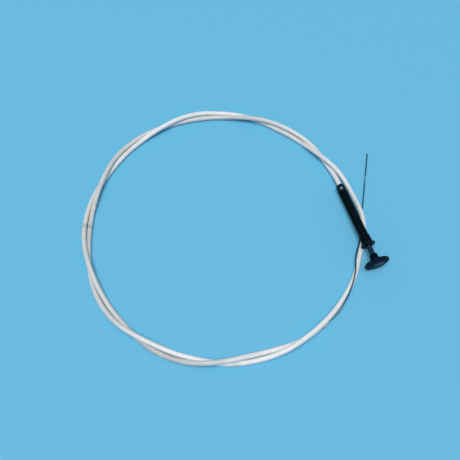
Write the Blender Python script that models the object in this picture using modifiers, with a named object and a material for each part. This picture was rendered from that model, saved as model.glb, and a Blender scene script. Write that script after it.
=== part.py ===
"""Push-pull control cable with a mushroom knob, its conduit lying in a loose ring of two turns.

Units are metres and +Z is up. The handle stands on the knob's rim and the conduit lies on the
floor at Z = 0. The origin is on the floor under the middle of the handle, and the knob points
along -Y. Along the handle every piece is placed by its station, the distance from the rear face
of the metal ferrule towards the knob.
"""

import math

import bpy
from mathutils import Matrix, Vector

# Fits
CLEARANCE = 0.0003  # between pieces that touch, slide or are pressed together
TURN_GAP = 0.0006  # between the two strands of the conduit at the points of their route

# Handle
HANDLE_TILT = math.radians(3.55)  # the knob's end is the higher one
FERRULE_LENGTH = 0.0074
FERRULE_DIAMETER = 0.0092
FERRULE_BEAD = 0.0004  # how far the rolled bead stands out of the ferrule
FERRULE_BEAD_SPAN = 0.0050  # the bead's length along the ferrule
FERRULE_BEAD_SETBACK = 0.0012  # from the body's end to the bead
FERRULE_SPIGOT = 0.0031  # length inside the body
BODY_LENGTH = 0.0568
BODY_DIAMETER = 0.0094
BODY_WALL = 0.0008
COLLAR_LENGTH = 0.0098
COLLAR_REAR_DIAMETER = 0.0105
COLLAR_FRONT_DIAMETER = 0.0114
COLLAR_SPIGOT = 0.0033  # length inside the body
FLANGE_DIAMETER = 0.0150
FLANGE_THICKNESS = 0.0010
FLANGE_RECESS = 0.0004  # depth of the recess in its rear face that takes the collar's end
GRIP_RING_SECTION = 0.0012
GRIP_RING_SETBACK = 0.0040  # from the collar's front face to the middle of the ring
EDGE = 0.0003  # small chamfer on turned edges

# Pull rod and knob
ROD_DIAMETER = 0.0054
ROD_NECK_DIAMETER = 0.0034
ROD_EXPOSED = 0.0117  # bare rod between the flange and the knob as it lies
ROD_IN_KNOB = 0.0058
PISTON_LENGTH = 0.0050
ANCHOR_LENGTH = 0.0030
ANCHOR_DIAMETER = 0.0048
PULL_TRAVEL = 0.0300  # from where it lies until the piston meets the collar's spigot
HUB_LENGTH = 0.0088
HUB_CYLINDER_LENGTH = 0.0029  # plain part behind the cone
HUB_REAR_DIAMETER = 0.0084
HUB_FRONT_DIAMETER = 0.0100
KNOB_DIAMETER = 0.0260
KNOB_RIM_THICKNESS = 0.0016
KNOB_CROWN = 0.0010  # height of the domed face over its rim
KNOB_BACK_RISE = 0.0008  # the back of the disc is this much nearer the hub at its middle
KNOB_FLARE = 0.0030  # radius of the fillet between the hub and the back of the disc

# Conduit and wire
CONDUIT_DIAMETER = 0.0050
CONDUIT_WALL = 0.00045
CONDUIT_SEAT = 0.0050  # how deep the conduit sits in the ferrule
CONDUIT_LEAVES_STRAIGHT = 0.0015  # straight length behind the ferrule
LINER_DIAMETER = 0.0031
LINER_WALL = 0.0003
WIRE_DIAMETER = 0.0015
WIRE_IN_ROD = 0.0045
WIRE_FLOOR_GAP = 0.0001  # the bare wire lies this far over the floor

# The ring that the conduit lies in, seen from above. Angles are in degrees about its middle,
# counted from +X towards +Y, and go past 360 on the second turn.
RING_RADIUS = 0.1428
RING_FROM_REAR = (-0.1346, -0.0078)  # its middle, from the rear end of the handle
# The strands lie side by side at these angles and cross over halfway between them.
SIDE_BY_SIDE = (3.0, 32.0, 74.5, 116.0, 159.0, 200.5, 235.0, 269.5)
STACKED_FROM = 287.0  # from here the second turn stays under the first, up to its cut end
STACKED_TWIST = 0.47  # the share of the last crossing that the pair turns through
TWIST_EASE = 0.3  # 0 for an even twist, 1 for one that rests where the strands lie side by side
CONDUIT_STARTS_ON_RING = 12.0
CONDUIT_ENDS = 657.7
STEPS_PER_CROSSING = 6
# How far the middle of the pair lies outside the ring's radius: (angle, distance).
PAIR_DRIFT = ((4.0, -0.0013), (18.0, -0.0049), (32.0, -0.0026), (46.0, -0.0029),
              (60.0, -0.0017), (78.0, 0.0006), (98.0, -0.0003), (118.0, 0.0009),
              (138.0, -0.0020), (158.0, -0.0016), (178.0, -0.0015), (198.0, 0.0006),
              (218.0, 0.0007), (238.0, 0.0005), (254.0, -0.0001), (268.0, -0.0014),
              (284.0, 0.0009), (298.0, 0.0007))
# The pair's height over the floor, where the handle's end holds the conduit up.
PAIR_LIFT = ((3.0, 0.0008), (14.0, 0.0009), (24.0, 0.0007), (45.0, 0.0), (60.0, 0.0))
# The free stretch from the first turn to the second, under the handle and over the bare wire:
# (angle, distance outside the ring's radius, height over the floor).
FREE_LAY = ((306.0, 0.0008, 0.0022), (313.0, 0.0012, 0.0002), (320.0, 0.0016, 0.0),
            (327.0, 0.0022, 0.0), (333.0, 0.0029, 0.0), (336.5, 0.0039, 0.0001),
            (339.2, 0.0044, 0.0006), (342.2, 0.0049, 0.0016), (346.0, 0.0051, 0.0021),
            (350.0, 0.0045, 0.0016), (354.5, 0.0033, 0.0004), (360.0, 0.0019, 0.0002),
            (364.5, 0.0009, 0.0017))
REJOINS_PAIR = 369.0
# The bare wire from the cut end to where it lies straight: (angle, distance, height of middle).
BARE_BEND = ((299.6, 0.0016, 0.0026), (303.5, 0.0034, 0.0028), (307.5, 0.0047, 0.0037),
             (310.5, 0.0045, 0.0048), (313.0, 0.0037, 0.0055), (316.0, 0.0027, 0.0060),
             (319.5, 0.0016, 0.0062), (323.0, 0.0006, 0.0060), (326.0, -0.0008, 0.0051),
             (329.0, -0.0014, 0.0034), (332.0, -0.0010, 0.0018))
BARE_LAID = ((335.0, 0.0001),)  # the same, on the floor
WIRE_STRAIGHT_FROM_REAR = (-0.0026, -0.0638)  # from the rear end of the handle, seen from above
WIRE_TIP_FROM_REAR = (0.0468, 0.0321)
WIRE_FEED = 0.0360  # straight wire kept behind the sliding end, so that it can draw back

# Facets
TURNED_STEPS = 48
SMALL_RING_STEPS = 32
ROUND_POINTS = 4  # steps along a rounded edge
RING_SECTION_POINTS = 10
SMOOTH_SIDES = 2  # bevel resolution of the conduit and of the short wires
LONG_WIRE_SIDES = 1  # of the long thin tubes

# Stations along the handle
body_rear = FERRULE_LENGTH + CLEARANCE
body_front = body_rear + BODY_LENGTH
collar_rear = body_front + CLEARANCE
collar_front = collar_rear + COLLAR_LENGTH
flange_rear = collar_front + CLEARANCE - FLANGE_RECESS
flange_front = flange_rear + FLANGE_THICKNESS
spigot_rear = collar_rear - COLLAR_SPIGOT
hub_rear = flange_front + ROD_EXPOSED
rim_middle = hub_rear + HUB_LENGTH + KNOB_RIM_THICKNESS / 2
knob_front = rim_middle + KNOB_RIM_THICKNESS / 2 + KNOB_CROWN
rod_front = hub_rear + ROD_IN_KNOB
piston_front = spigot_rear - CLEARANCE - PULL_TRAVEL
piston_rear = piston_front - PISTON_LENGTH
rod_shoulder = piston_front + CLEARANCE
anchor_front = piston_rear - CLEARANCE
anchor_rear = anchor_front - ANCHOR_LENGTH

# Radii that follow from their neighbours
body_bore = BODY_DIAMETER / 2 - BODY_WALL
spigot_radius = body_bore - CLEARANCE
rod_bore = ROD_DIAMETER / 2 + CLEARANCE
wire_bore = WIRE_DIAMETER / 2 + CLEARANCE
conduit_bore = CONDUIT_DIAMETER / 2 + CLEARANCE
grip_ring_radius = rod_bore + GRIP_RING_SECTION / 2
flange_recess_radius = COLLAR_FRONT_DIAMETER / 2 + CLEARANCE
turn_pitch = CONDUIT_DIAMETER + TURN_GAP


# Where the handle stands
def handle_rear() -> Vector:
    """The handle's rear end, with the knob's rim on the floor and the handle's box over the origin."""
    along, across = math.cos(HANDLE_TILT), math.sin(HANDLE_TILT)
    lowest_rim = KNOB_DIAMETER / 2 * along - rim_middle * across
    rounding = KNOB_RIM_THICKNESS / 2 * (1 - along)
    foremost = max(
        knob_front * along,
        rim_middle * along + (KNOB_DIAMETER - KNOB_RIM_THICKNESS) / 2 * across
        + KNOB_RIM_THICKNESS / 2,
    )
    rearmost = FERRULE_DIAMETER / 2 * across
    return Vector((0, (foremost - rearmost) / 2, lowest_rim + rounding))


REAR = handle_rear()
RING_MIDDLE = Vector((RING_FROM_REAR[0], REAR.y + RING_FROM_REAR[1], 0))


def station(distance: float) -> Vector:
    """The point on the handle's axis at a station."""
    return REAR + distance * Vector((0, -math.cos(HANDLE_TILT), math.sin(HANDLE_TILT)))


# Outlines and curves
def arc(middle, radius, start, end, points=ROUND_POINTS):
    """Points of an arc of an outline, with its angles in degrees from the radial direction."""
    angles = [math.radians(start + (end - start) * i / points) for i in range(points + 1)]
    return [(middle[0] + radius * math.cos(a), middle[1] + radius * math.sin(a)) for a in angles]


def eased(share: float) -> float:
    """A smooth step from 0 to 1."""
    return (1 - math.cos(math.pi * share)) / 2


def smooth(knots, at: float):
    """The value at a place on the smooth curve through knots of (place, value, ...)."""
    last = len(knots) - 1
    i = max(k for k in range(last) if k == 0 or knots[k][0] <= at)

    def slope(k, column):
        low, high = max(k - 1, 0), min(k + 1, last)
        return (knots[high][column] - knots[low][column]) / (knots[high][0] - knots[low][0])

    width = knots[i + 1][0] - knots[i][0]
    t = min(max((at - knots[i][0]) / width, 0.0), 1.0)
    values = []
    for column in range(1, len(knots[i])):
        start, end = knots[i][column], knots[i + 1][column]
        values.append(
            (2 * t**3 - 3 * t**2 + 1) * start + (t**3 - 2 * t**2 + t) * width * slope(i, column)
            + (3 * t**2 - 2 * t**3) * end + (t**3 - t**2) * width * slope(i + 1, column)
        )
    return values[0] if len(values) == 1 else values


def on_ring(angle: float, outside: float, height: float) -> Vector:
    """A point by its angle on the ring, its distance outside the ring's radius and its height."""
    turn = math.radians(angle)
    reach = RING_RADIUS + outside
    return RING_MIDDLE + Vector((reach * math.cos(turn), reach * math.sin(turn), height))


# The route of the conduit
def twist(angle: float) -> float:
    """How far the pair has turned about its middle: the second turn starts outside, then goes over."""
    bounds = (*SIDE_BY_SIDE, STACKED_FROM)
    k = max(i for i in range(len(SIDE_BY_SIDE)) if i == 0 or bounds[i] <= angle)
    even = min(max((angle - bounds[k]) / (bounds[k + 1] - bounds[k]), 0.0), 1.0)
    share = even + TWIST_EASE * (eased(even) - even)
    if k == len(SIDE_BY_SIDE) - 1:
        share *= STACKED_TWIST
    return math.pi * (k + share)


def paired(angle: float, second: bool):
    """Where a strand of the pair lies: its distance outside the ring's radius and its height."""
    turned = twist(angle)
    side = 1 if second else -1
    outside = smooth(PAIR_DRIFT, angle) + side * turn_pitch / 2 * math.cos(turned)
    rise = max(0.0, side * turn_pitch * math.sin(turned))
    lift = max(0.0, smooth(PAIR_LIFT, angle))
    return outside, CONDUIT_DIAMETER / 2 + lift + rise


def pair_angles(start: float, end: float):
    """Angles at even steps between the places where the strands lie side by side."""
    bounds = (*SIDE_BY_SIDE, STACKED_FROM)
    angles = [
        low + (high - low) * i / STEPS_PER_CROSSING
        for low, high in zip(bounds, bounds[1:]) for i in range(STEPS_PER_CROSSING)
    ]
    return [a for a in angles if start <= a <= end]


def conduit_route():
    """The points down the middle of the conduit, from its seat in the ferrule to its cut end."""
    last = CONDUIT_ENDS - 360
    seated = (CONDUIT_SEAT, CONDUIT_SEAT / 2, 0.0, -CONDUIT_LEAVES_STRAIGHT)
    points = [station(distance) for distance in seated]
    points += [on_ring(a, *paired(a, False)) for a in pair_angles(CONDUIT_STARTS_ON_RING, last)]
    points.append(on_ring(last, *paired(last, False)))
    points += [on_ring(a, out, CONDUIT_DIAMETER / 2 + up) for a, out, up in FREE_LAY]
    rejoins = REJOINS_PAIR - 360
    points += [on_ring(a, *paired(a, True)) for a in pair_angles(rejoins, last - 1)]
    points.append(on_ring(last, *paired(last, True)))
    return points


def least_gap(points, radius: float) -> float:
    """The least gap between stretches of a tube that are further apart along it than a loop's half."""
    fine = []
    for start, end in zip(points, points[1:]):
        pieces = max(1, round((end - start).length / radius))
        fine += [start.lerp(end, i / pieces) for i in range(pieces)]
    skip = round(math.pi * RING_RADIUS / radius)
    nearest = min(
        (a - b).length for i, a in enumerate(fine) for b in fine[i + skip:]
    )
    return nearest - 2 * radius


# Route of the bare wire
def wire_on_floor(x: float, y: float) -> Vector:
    """A point of the wire's middle where it lies on the floor, from the rear end of the handle."""
    return Vector((x, REAR.y + y, WIRE_DIAMETER / 2 + WIRE_FLOOR_GAP))


def wire_split() -> Vector:
    """Where the sliding end of the wire begins."""
    start, tip = wire_on_floor(*WIRE_STRAIGHT_FROM_REAR), wire_on_floor(*WIRE_TIP_FROM_REAR)
    return start + WIRE_FEED * (tip - start).normalized()


def core_route(conduit):
    """The points down the wire, from the handle through the conduit and along the floor."""
    laid_height = WIRE_DIAMETER / 2 + WIRE_FLOOR_GAP
    points = [station(anchor_rear / 2 - CLEARANCE), station(CONDUIT_SEAT + CLEARANCE), *conduit]
    points += [on_ring(*knot) for knot in BARE_BEND]
    points += [on_ring(a, out, laid_height) for a, out in BARE_LAID]
    start = wire_on_floor(*WIRE_STRAIGHT_FROM_REAR)
    split = wire_split()
    points += [start, split - CLEARANCE * (split - start).normalized()]
    return points


# Objects
def material(name: str, colour, roughness: float, metallic: float = 0.0):
    """A plain material."""
    made = bpy.data.materials.new(name)
    made.use_nodes = True
    shader = made.node_tree.nodes["Principled BSDF"]
    shader.inputs["Base Color"].default_value = (*colour, 1)
    shader.inputs["Roughness"].default_value = roughness
    shader.inputs["Metallic"].default_value = metallic
    return made


def turned(name: str, outline, surface, parent, closed=True, steps=TURNED_STEPS):
    """A turned piece. Its outline of (radius, station) runs down the outside from the front."""
    mesh = bpy.data.meshes.new(name)
    count = len(outline)
    edges = [(i, i + 1) for i in range(count - 1)]
    if closed:
        edges.append((count - 1, 0))
    mesh.from_pydata([(radius, 0, place) for radius, place in outline], edges, [])
    piece = bpy.data.objects.new(name, mesh)
    parts.objects.link(piece)
    piece.parent = parent
    screw = piece.modifiers.new("turn", "SCREW")
    screw.steps = screw.render_steps = steps
    screw.use_merge_vertices = True
    screw.merge_threshold = 0.000001
    screw.use_smooth_shade = True
    mesh.materials.append(surface)
    return piece


def sleeve(front: float, rear: float, outer: float, inner: float, edge: float = EDGE):
    """The outline of a plain sleeve with its outer edges broken."""
    return [(inner, front), (outer - edge, front), (outer, front - edge),
            (outer, rear + edge), (outer - edge, rear), (inner, rear)]


def tube(name: str, points, radius: float, surface, sides_level: int, capped=True):
    """A round wire or tube along points."""
    curve = bpy.data.curves.new(name, "CURVE")
    curve.dimensions = "3D"
    curve.bevel_depth = radius
    curve.bevel_resolution = sides_level
    curve.use_fill_caps = capped
    spline = curve.splines.new("POLY")
    spline.points.add(len(points) - 1)
    for point, place in zip(spline.points, points):
        point.co = (*place, 1)
    piece = bpy.data.objects.new(name, curve)
    parts.objects.link(piece)
    curve.materials.append(surface)
    return piece


def hollow(piece, wall: float):
    """Makes an open tube a mesh with a wall that grows inwards."""
    graph = bpy.context.evaluated_depsgraph_get()
    mesh = bpy.data.meshes.new_from_object(piece.evaluated_get(graph))
    name, place, curve = piece.name, piece.matrix_world.copy(), piece.data
    bpy.data.objects.remove(piece)
    bpy.data.curves.remove(curve)
    made = bpy.data.objects.new(name, mesh)
    mesh.name = name
    mesh.shade_smooth()
    made.matrix_world = place
    parts.objects.link(made)
    shell = made.modifiers.new("wall", "SOLIDIFY")
    shell.thickness = wall
    shell.offset = -1
    shell.use_even_offset = True
    return made


# Sub-assemblies
def build_barrel(axis):
    """The fixed pieces of the handle, from the ferrule to the flange."""
    ferrule_radius = FERRULE_DIAMETER / 2
    bead_front = FERRULE_LENGTH - FERRULE_BEAD_SETBACK
    bead = [
        (ferrule_radius + FERRULE_BEAD * math.sin(math.pi * i / ROUND_POINTS),
         bead_front - FERRULE_BEAD_SPAN * i / ROUND_POINTS)
        for i in range(ROUND_POINTS + 1)
    ]
    spigot_front = FERRULE_LENGTH + FERRULE_SPIGOT
    turned("rear_ferrule", [
        (wire_bore, spigot_front), (spigot_radius, spigot_front),
        (spigot_radius, FERRULE_LENGTH), (ferrule_radius, FERRULE_LENGTH),
        *bead, (ferrule_radius, EDGE), (ferrule_radius - EDGE, 0),
        (conduit_bore, 0), (conduit_bore, CONDUIT_SEAT + CLEARANCE),
        (wire_bore, CONDUIT_SEAT + CLEARANCE),
    ], ferrule_metal, axis)

    turned("body_tube", sleeve(body_front, body_rear, BODY_DIAMETER / 2, body_bore),
           black_body, axis)

    groove_middle = collar_front - GRIP_RING_SETBACK
    groove_half = GRIP_RING_SECTION / 2 + CLEARANCE
    groove_radius = grip_ring_radius + groove_half
    turned("front_collar", [
        (rod_bore, collar_front), (COLLAR_FRONT_DIAMETER / 2 - EDGE, collar_front),
        (COLLAR_FRONT_DIAMETER / 2, collar_front - EDGE),
        (COLLAR_REAR_DIAMETER / 2, collar_rear + EDGE),
        (COLLAR_REAR_DIAMETER / 2 - EDGE, collar_rear), (spigot_radius, collar_rear),
        (spigot_radius, spigot_rear), (rod_bore, spigot_rear),
        (rod_bore, groove_middle - groove_half), (groove_radius, groove_middle - groove_half),
        (groove_radius, groove_middle + groove_half), (rod_bore, groove_middle + groove_half),
    ], black_collar, axis)

    section = arc((grip_ring_radius, groove_middle), GRIP_RING_SECTION / 2, 90, -270,
                  RING_SECTION_POINTS)
    turned("grip_ring", section[:-1], ring_rubber, axis, steps=SMALL_RING_STEPS)

    flange = sleeve(flange_front, flange_rear, FLANGE_DIAMETER / 2, rod_bore)
    recess_floor = flange_rear + FLANGE_RECESS
    flange[-1:] = [(flange_recess_radius, flange_rear), (flange_recess_radius, recess_floor),
                   (rod_bore, recess_floor)]
    turned("mounting_flange", flange, black_flange, axis)


def knob_outline():
    """The outline of the knob: a domed disc with a round rim on a flared hub, bored for the rod."""
    rim_radius = KNOB_RIM_THICKNESS / 2
    rim_place = KNOB_DIAMETER / 2 - rim_radius
    crown = [
        (rim_place * i / ROUND_POINTS,
         knob_front - KNOB_CROWN * (i / ROUND_POINTS) ** 2)
        for i in range(ROUND_POINTS)
    ]
    rim = arc((rim_place, rim_middle), rim_radius, 90, -90, 2 * ROUND_POINTS)
    hub_radius = HUB_FRONT_DIAMETER / 2
    disc_back = rim_middle - rim_radius - KNOB_BACK_RISE
    fillet = arc((hub_radius + KNOB_FLARE, disc_back - KNOB_FLARE), KNOB_FLARE, 90, 180)
    rod_seat = rod_front + CLEARANCE
    return [
        *crown, *rim, *fillet,
        (HUB_REAR_DIAMETER / 2, hub_rear + HUB_CYLINDER_LENGTH),
        (HUB_REAR_DIAMETER / 2, hub_rear + EDGE), (HUB_REAR_DIAMETER / 2 - EDGE, hub_rear),
        (rod_bore, hub_rear), (rod_bore, rod_seat), (0, rod_seat),
    ]


def build_puller(axis):
    """The pieces that move with the knob."""
    turned("knob", knob_outline(), knob_plastic, axis, closed=False)
    neck, rod = ROD_NECK_DIAMETER / 2, ROD_DIAMETER / 2
    wire_end = piston_rear + WIRE_IN_ROD + CLEARANCE
    turned("pull_rod", [
        (0, rod_front), (rod - EDGE, rod_front), (rod, rod_front - EDGE), (rod, rod_shoulder),
        (neck, rod_shoulder), (neck, piston_rear), (wire_bore, piston_rear),
        (wire_bore, wire_end), (0, wire_end),
    ], rod_steel, axis, closed=False)
    turned("guide_piston",
           sleeve(piston_front, piston_rear, spigot_radius, neck + CLEARANCE), guide_nylon, axis)
    turned("wire_anchor",
           sleeve(anchor_front, anchor_rear, ANCHOR_DIAMETER / 2, wire_bore), anchor_brass, axis)


def build_cable():
    """The conduit, its coil liner and the wire, which ends in a straight sliding length."""
    conduit = conduit_route()
    hollow(tube("conduit_sheath", conduit, CONDUIT_DIAMETER / 2, sheath_white, SMOOTH_SIDES,
                capped=False), CONDUIT_WALL)
    hollow(tube("conduit_liner", conduit, LINER_DIAMETER / 2, liner_steel, LONG_WIRE_SIDES,
                capped=False), LINER_WALL)
    tube("core_wire", core_route(conduit), WIRE_DIAMETER / 2, wire_steel, LONG_WIRE_SIDES)
    tube("drive_wire", [station(anchor_rear / 2), station(piston_rear + WIRE_IN_ROD)],
         WIRE_DIAMETER / 2, wire_steel, SMOOTH_SIDES)
    start, tip = wire_split(), wire_on_floor(*WIRE_TIP_FROM_REAR)
    tail = tube("tail_wire", [Vector((0, 0, 0)), Vector(((tip - start).length, 0, 0))],
                WIRE_DIAMETER / 2, wire_steel, SMOOTH_SIDES)
    heading = math.atan2(tip.y - start.y, tip.x - start.x)
    tail.matrix_world = Matrix.Translation(start) @ Matrix.Rotation(heading, 4, "Z")
    length = sum((b - a).length for a, b in zip(conduit, conduit[1:]))
    print(f"conduit length {length:.3f} m, {len(conduit)} points")
    print(f"least gap between its turns {least_gap(conduit, CONDUIT_DIAMETER / 2) * 1000:.2f} mm")


for old in list(bpy.data.objects):
    bpy.data.objects.remove(old)

parts = bpy.data.collections.new("push_pull_control_cable")
bpy.context.scene.collection.children.link(parts)

knob_plastic = material("knob_plastic", (0.012, 0.016, 0.028), 0.3)
black_body = material("black_body", (0.012, 0.014, 0.018), 0.4)
black_collar = material("black_collar", (0.010, 0.012, 0.016), 0.45)
black_flange = material("black_flange", (0.010, 0.012, 0.016), 0.45)
rod_steel = material("rod_steel", (0.12, 0.13, 0.15), 0.4, 0.8)
ferrule_metal = material("ferrule_metal", (0.30, 0.32, 0.32), 0.35, 0.9)
sheath_white = material("sheath_white", (0.78, 0.76, 0.76), 0.5)
liner_steel = material("liner_steel", (0.25, 0.26, 0.27), 0.45, 0.9)
wire_steel = material("wire_steel", (0.22, 0.25, 0.28), 0.35, 0.9)
ring_rubber = material("ring_rubber", (0.02, 0.02, 0.02), 0.8)
guide_nylon = material("guide_nylon", (0.55, 0.52, 0.45), 0.5)
anchor_brass = material("anchor_brass", (0.55, 0.40, 0.18), 0.4, 0.9)

handle_axis = bpy.data.objects.new("handle_axis", None)
parts.objects.link(handle_axis)
handle_axis.location = REAR
handle_axis.rotation_euler.x = math.pi / 2 - HANDLE_TILT

build_barrel(handle_axis)
build_puller(handle_axis)
build_cable()
bpy.context.view_layer.update()
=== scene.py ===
"""Looks of a push-pull control cable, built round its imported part.

A mushroom knob on a steel rod, a black tube handle with a flange and a plated ferrule, and a white
conduit that lies in a woven ring of two turns with its bare wire coming out of the cut end. Units
are metres and +Z is up, in the part's own frame, where the knob points along -Y.
"""

from __future__ import annotations

import logging
import math
from dataclasses import dataclass, field
from enum import Enum
from functools import wraps
from typing import Callable, Iterable, Sequence

import bmesh
import bpy
import numpy as np
from mathutils import Matrix, Vector


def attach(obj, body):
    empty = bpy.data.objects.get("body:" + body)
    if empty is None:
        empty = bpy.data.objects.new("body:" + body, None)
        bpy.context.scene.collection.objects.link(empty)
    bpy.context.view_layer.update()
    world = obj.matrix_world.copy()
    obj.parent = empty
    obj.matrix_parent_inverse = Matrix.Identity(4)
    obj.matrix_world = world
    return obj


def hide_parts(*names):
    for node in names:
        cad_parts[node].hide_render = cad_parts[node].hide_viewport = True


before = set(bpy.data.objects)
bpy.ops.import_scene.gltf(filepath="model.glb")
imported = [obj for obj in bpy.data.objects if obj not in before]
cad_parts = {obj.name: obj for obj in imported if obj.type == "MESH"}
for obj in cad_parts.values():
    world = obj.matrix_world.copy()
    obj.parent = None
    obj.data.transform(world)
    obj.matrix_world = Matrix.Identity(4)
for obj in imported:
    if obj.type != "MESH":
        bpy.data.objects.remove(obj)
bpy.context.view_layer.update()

LOG = logging.getLogger("control_cable")
MM = 0.001

Colour = tuple[float, float, float]
Point = tuple[float, float, float]
Socket = bpy.types.NodeSocket
Sockets = dict[str, Socket]


class Body(Enum):
    """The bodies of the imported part."""

    BARREL = "barrel"
    PULLER = "puller"
    WIRE_END = "wire_end"


# Node trees


@dataclass
class Wiring:
    """Adds nodes to a tree and joins them up.

    Attributes:
        tree: The node tree to work in.
    """

    tree: bpy.types.NodeTree

    def add(self, kind: str, inputs: dict[str | int, object] | None = None, **settings: object
            ) -> bpy.types.Node:
        """Adds a node.

        Args:
            kind: The node's type name.
            inputs: A value or a socket to join for each input, by the input's name or number.
            **settings: Properties of the node.

        Returns:
            The new node.
        """
        node = self.tree.nodes.new(kind)
        for name, value in settings.items():
            setattr(node, name, value)
        self.fill(node, inputs or {})
        return node

    def fill(self, node: bpy.types.Node, inputs: dict[str | int, object]) -> None:
        """Joins a socket to each of a node's inputs, or sets the input's own value.

        Args:
            node: The node.
            inputs: A value or a socket to join for each input, by the input's name or number.
        """
        for name, value in inputs.items():
            socket = node.inputs[name]
            if isinstance(value, bpy.types.NodeSocket):
                self.tree.links.new(value, socket)
            elif isinstance(value, tuple) and len(value) == 3 and socket.type == "RGBA":
                socket.default_value = (*value, 1.0)
            else:
                socket.default_value = value

    def own_value(self, name: str) -> Socket:
        """A value that the piece holds at its points."""
        return self.add("ShaderNodeAttribute", attribute_name=name).outputs["Fac"]

    def math(self, operation: str, first: object, second: object = 0.0, clamp: bool = False
             ) -> Socket:
        """The result of a Math node."""
        return self.add("ShaderNodeMath", {0: first, 1: second}, operation=operation,
                        use_clamp=clamp).outputs[0]

    def noise(self, vector: Socket, scale: object, detail: float = 3.0, roughness: float = 0.55
              ) -> Socket:
        """A noise value around one half.

        Args:
            vector: The coordinates that it reads.
            scale: The scale of the pattern.
            detail: How many finer layers it has.
            roughness: How strong the finer layers are.

        Returns:
            The socket of the noise.
        """
        return self.add("ShaderNodeTexNoise", {
            "Vector": vector, "Scale": scale, "Detail": detail, "Roughness": roughness,
        }).outputs[0]

    def spread(self, value: Socket, low: object, high: object, to_low: object = 0.0,
               to_high: object = 1.0) -> Socket:
        """A value taken from one range to another, and kept inside it.

        Args:
            value: The value.
            low: The low end of the range it comes from.
            high: The high end of that range.
            to_low: What the low end becomes.
            to_high: What the high end becomes.

        Returns:
            The socket of the new value.
        """
        return self.add("ShaderNodeMapRange", {
            "Value": value, "From Min": low, "From Max": high, "To Min": to_low,
            "To Max": to_high,
        }, clamp=True).outputs[0]

    def mix(self, share: object, first: object, second: object) -> Socket:
        """A mix of two colours."""
        return self.add("ShaderNodeMix", {0: share, 6: first, 7: second},
                        data_type="RGBA").outputs[2]


def new_sockets(tree: bpy.types.NodeTree, labels: Iterable[str], side: str) -> dict[str, str]:
    """Gives a tree its named sockets.

    Args:
        tree: The node tree.
        labels: The name of each socket, and after a colon its kind where the name doesn't say it.
        side: INPUT or OUTPUT.

    Returns:
        The identifier of each socket, by its name.
    """
    made = {}
    for label in labels:
        name, _, kind = label.partition(":")
        kind = kind or (name if name in ("Vector", "Geometry", "Material")
                        else "Color" if name.endswith("Color") else "Float")
        socket = tree.interface.new_socket(name, in_out=side, socket_type=f"NodeSocket{kind}")
        made[name] = socket.identifier
    return made


def shared_group(name: str, inputs: Sequence[str], outputs: Sequence[str]) -> Callable:
    """Turns a function that wires a pattern into one that gives its shader node group.

    Args:
        name: The group's name.
        inputs: The name of each input.
        outputs: The name of each output.

    Returns:
        A decorator, whose function makes the group once and then gives the same one.
    """

    def decorate(build: Callable[[Wiring, Sockets], Sockets]) -> Callable[[], bpy.types.NodeTree]:
        """Wraps the function that wires the pattern.

        Args:
            build: Wires the pattern and gives the socket of each output.

        Returns:
            The function that gives the group.
        """

        @wraps(build)
        def group() -> bpy.types.NodeTree:
            """Makes the group, or gives the one already made.

            Returns:
                The node group.
            """
            if name in bpy.data.node_groups:
                return bpy.data.node_groups[name]
            tree = bpy.data.node_groups.new(name, "ShaderNodeTree")
            new_sockets(tree, inputs, "INPUT")
            new_sockets(tree, outputs, "OUTPUT")
            wiring = Wiring(tree)
            given = wiring.add("NodeGroupInput").outputs
            wiring.add("NodeGroupOutput", build(wiring, {label: given[label] for label in inputs}))
            return tree

        return group

    return decorate


@shared_group("surface_grain", ("Vector", "Scale", "Smoothest", "Roughest"),
              ("Roughness", "Height"))
def grain_group(wiring: Wiring, given: Sockets) -> Sockets:
    """Fine unevenness of a surface: broad patches steer the roughness, fine ones the height.

    Args:
        wiring: The wiring of the tree.
        given: The socket of each input.

    Returns:
        The socket of each output.
    """
    broad = wiring.noise(given["Vector"], given["Scale"], 4.0)
    fine = wiring.noise(given["Vector"], wiring.math("MULTIPLY", given["Scale"], 6.0), 2.0)
    rough = wiring.spread(broad, 0.3, 0.7, given["Smoothest"], given["Roughest"])
    return {"Roughness": rough, "Height": fine}


@shared_group("edge_wear", ("Vector", "Edge", "Scale", "Amount", "Color", "Worn Color"),
              ("Color", "Mask"))
def wear_group(wiring: Wiring, given: Sockets) -> Sockets:
    """Wear of exposed edges: the piece's edge value, broken up by noise, so that it varies.

    Args:
        wiring: The wiring of the tree.
        given: The socket of each input.

    Returns:
        The socket of each output.
    """
    patches = wiring.noise(given["Vector"], given["Scale"], 5.0, 0.65)
    broken = wiring.math("ADD", given["Edge"], wiring.math("SUBTRACT", patches, 0.62))
    mask = wiring.spread(broken, 0.25, 0.75, 0.0, given["Amount"])
    return {"Color": wiring.mix(mask, given["Color"], given["Worn Color"]), "Mask": mask}


@shared_group("handling_marks",
              ("Vector", "Scale", "Gathered", "Everywhere", "Color", "Dirt Color"),
              ("Color", "Mask"))
def grime_group(wiring: Wiring, given: Sockets) -> Sockets:
    """Handling marks: faint broad stains and small dark flecks, gathered where the piece says.

    Args:
        wiring: The wiring of the tree.
        given: The socket of each input.

    Returns:
        The socket of each output.
    """
    stains = wiring.spread(wiring.noise(given["Vector"], given["Scale"], 5.0, 0.6), 0.50, 0.74)
    fine = wiring.noise(given["Vector"], wiring.math("MULTIPLY", given["Scale"], 5.0), 2.0)
    flecks = wiring.spread(fine, 0.63, 0.72)
    gathered = wiring.math("MULTIPLY", given["Gathered"], wiring.math("ADD", stains, 0.45),
                           clamp=True)
    loose = wiring.math("MULTIPLY", given["Everywhere"], wiring.math("MAXIMUM", stains, flecks),
                        clamp=True)
    mask = wiring.math("MAXIMUM", gathered, loose, clamp=True)
    return {"Color": wiring.mix(mask, given["Color"], given["Dirt Color"]), "Mask": mask}


# Finishes

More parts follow.
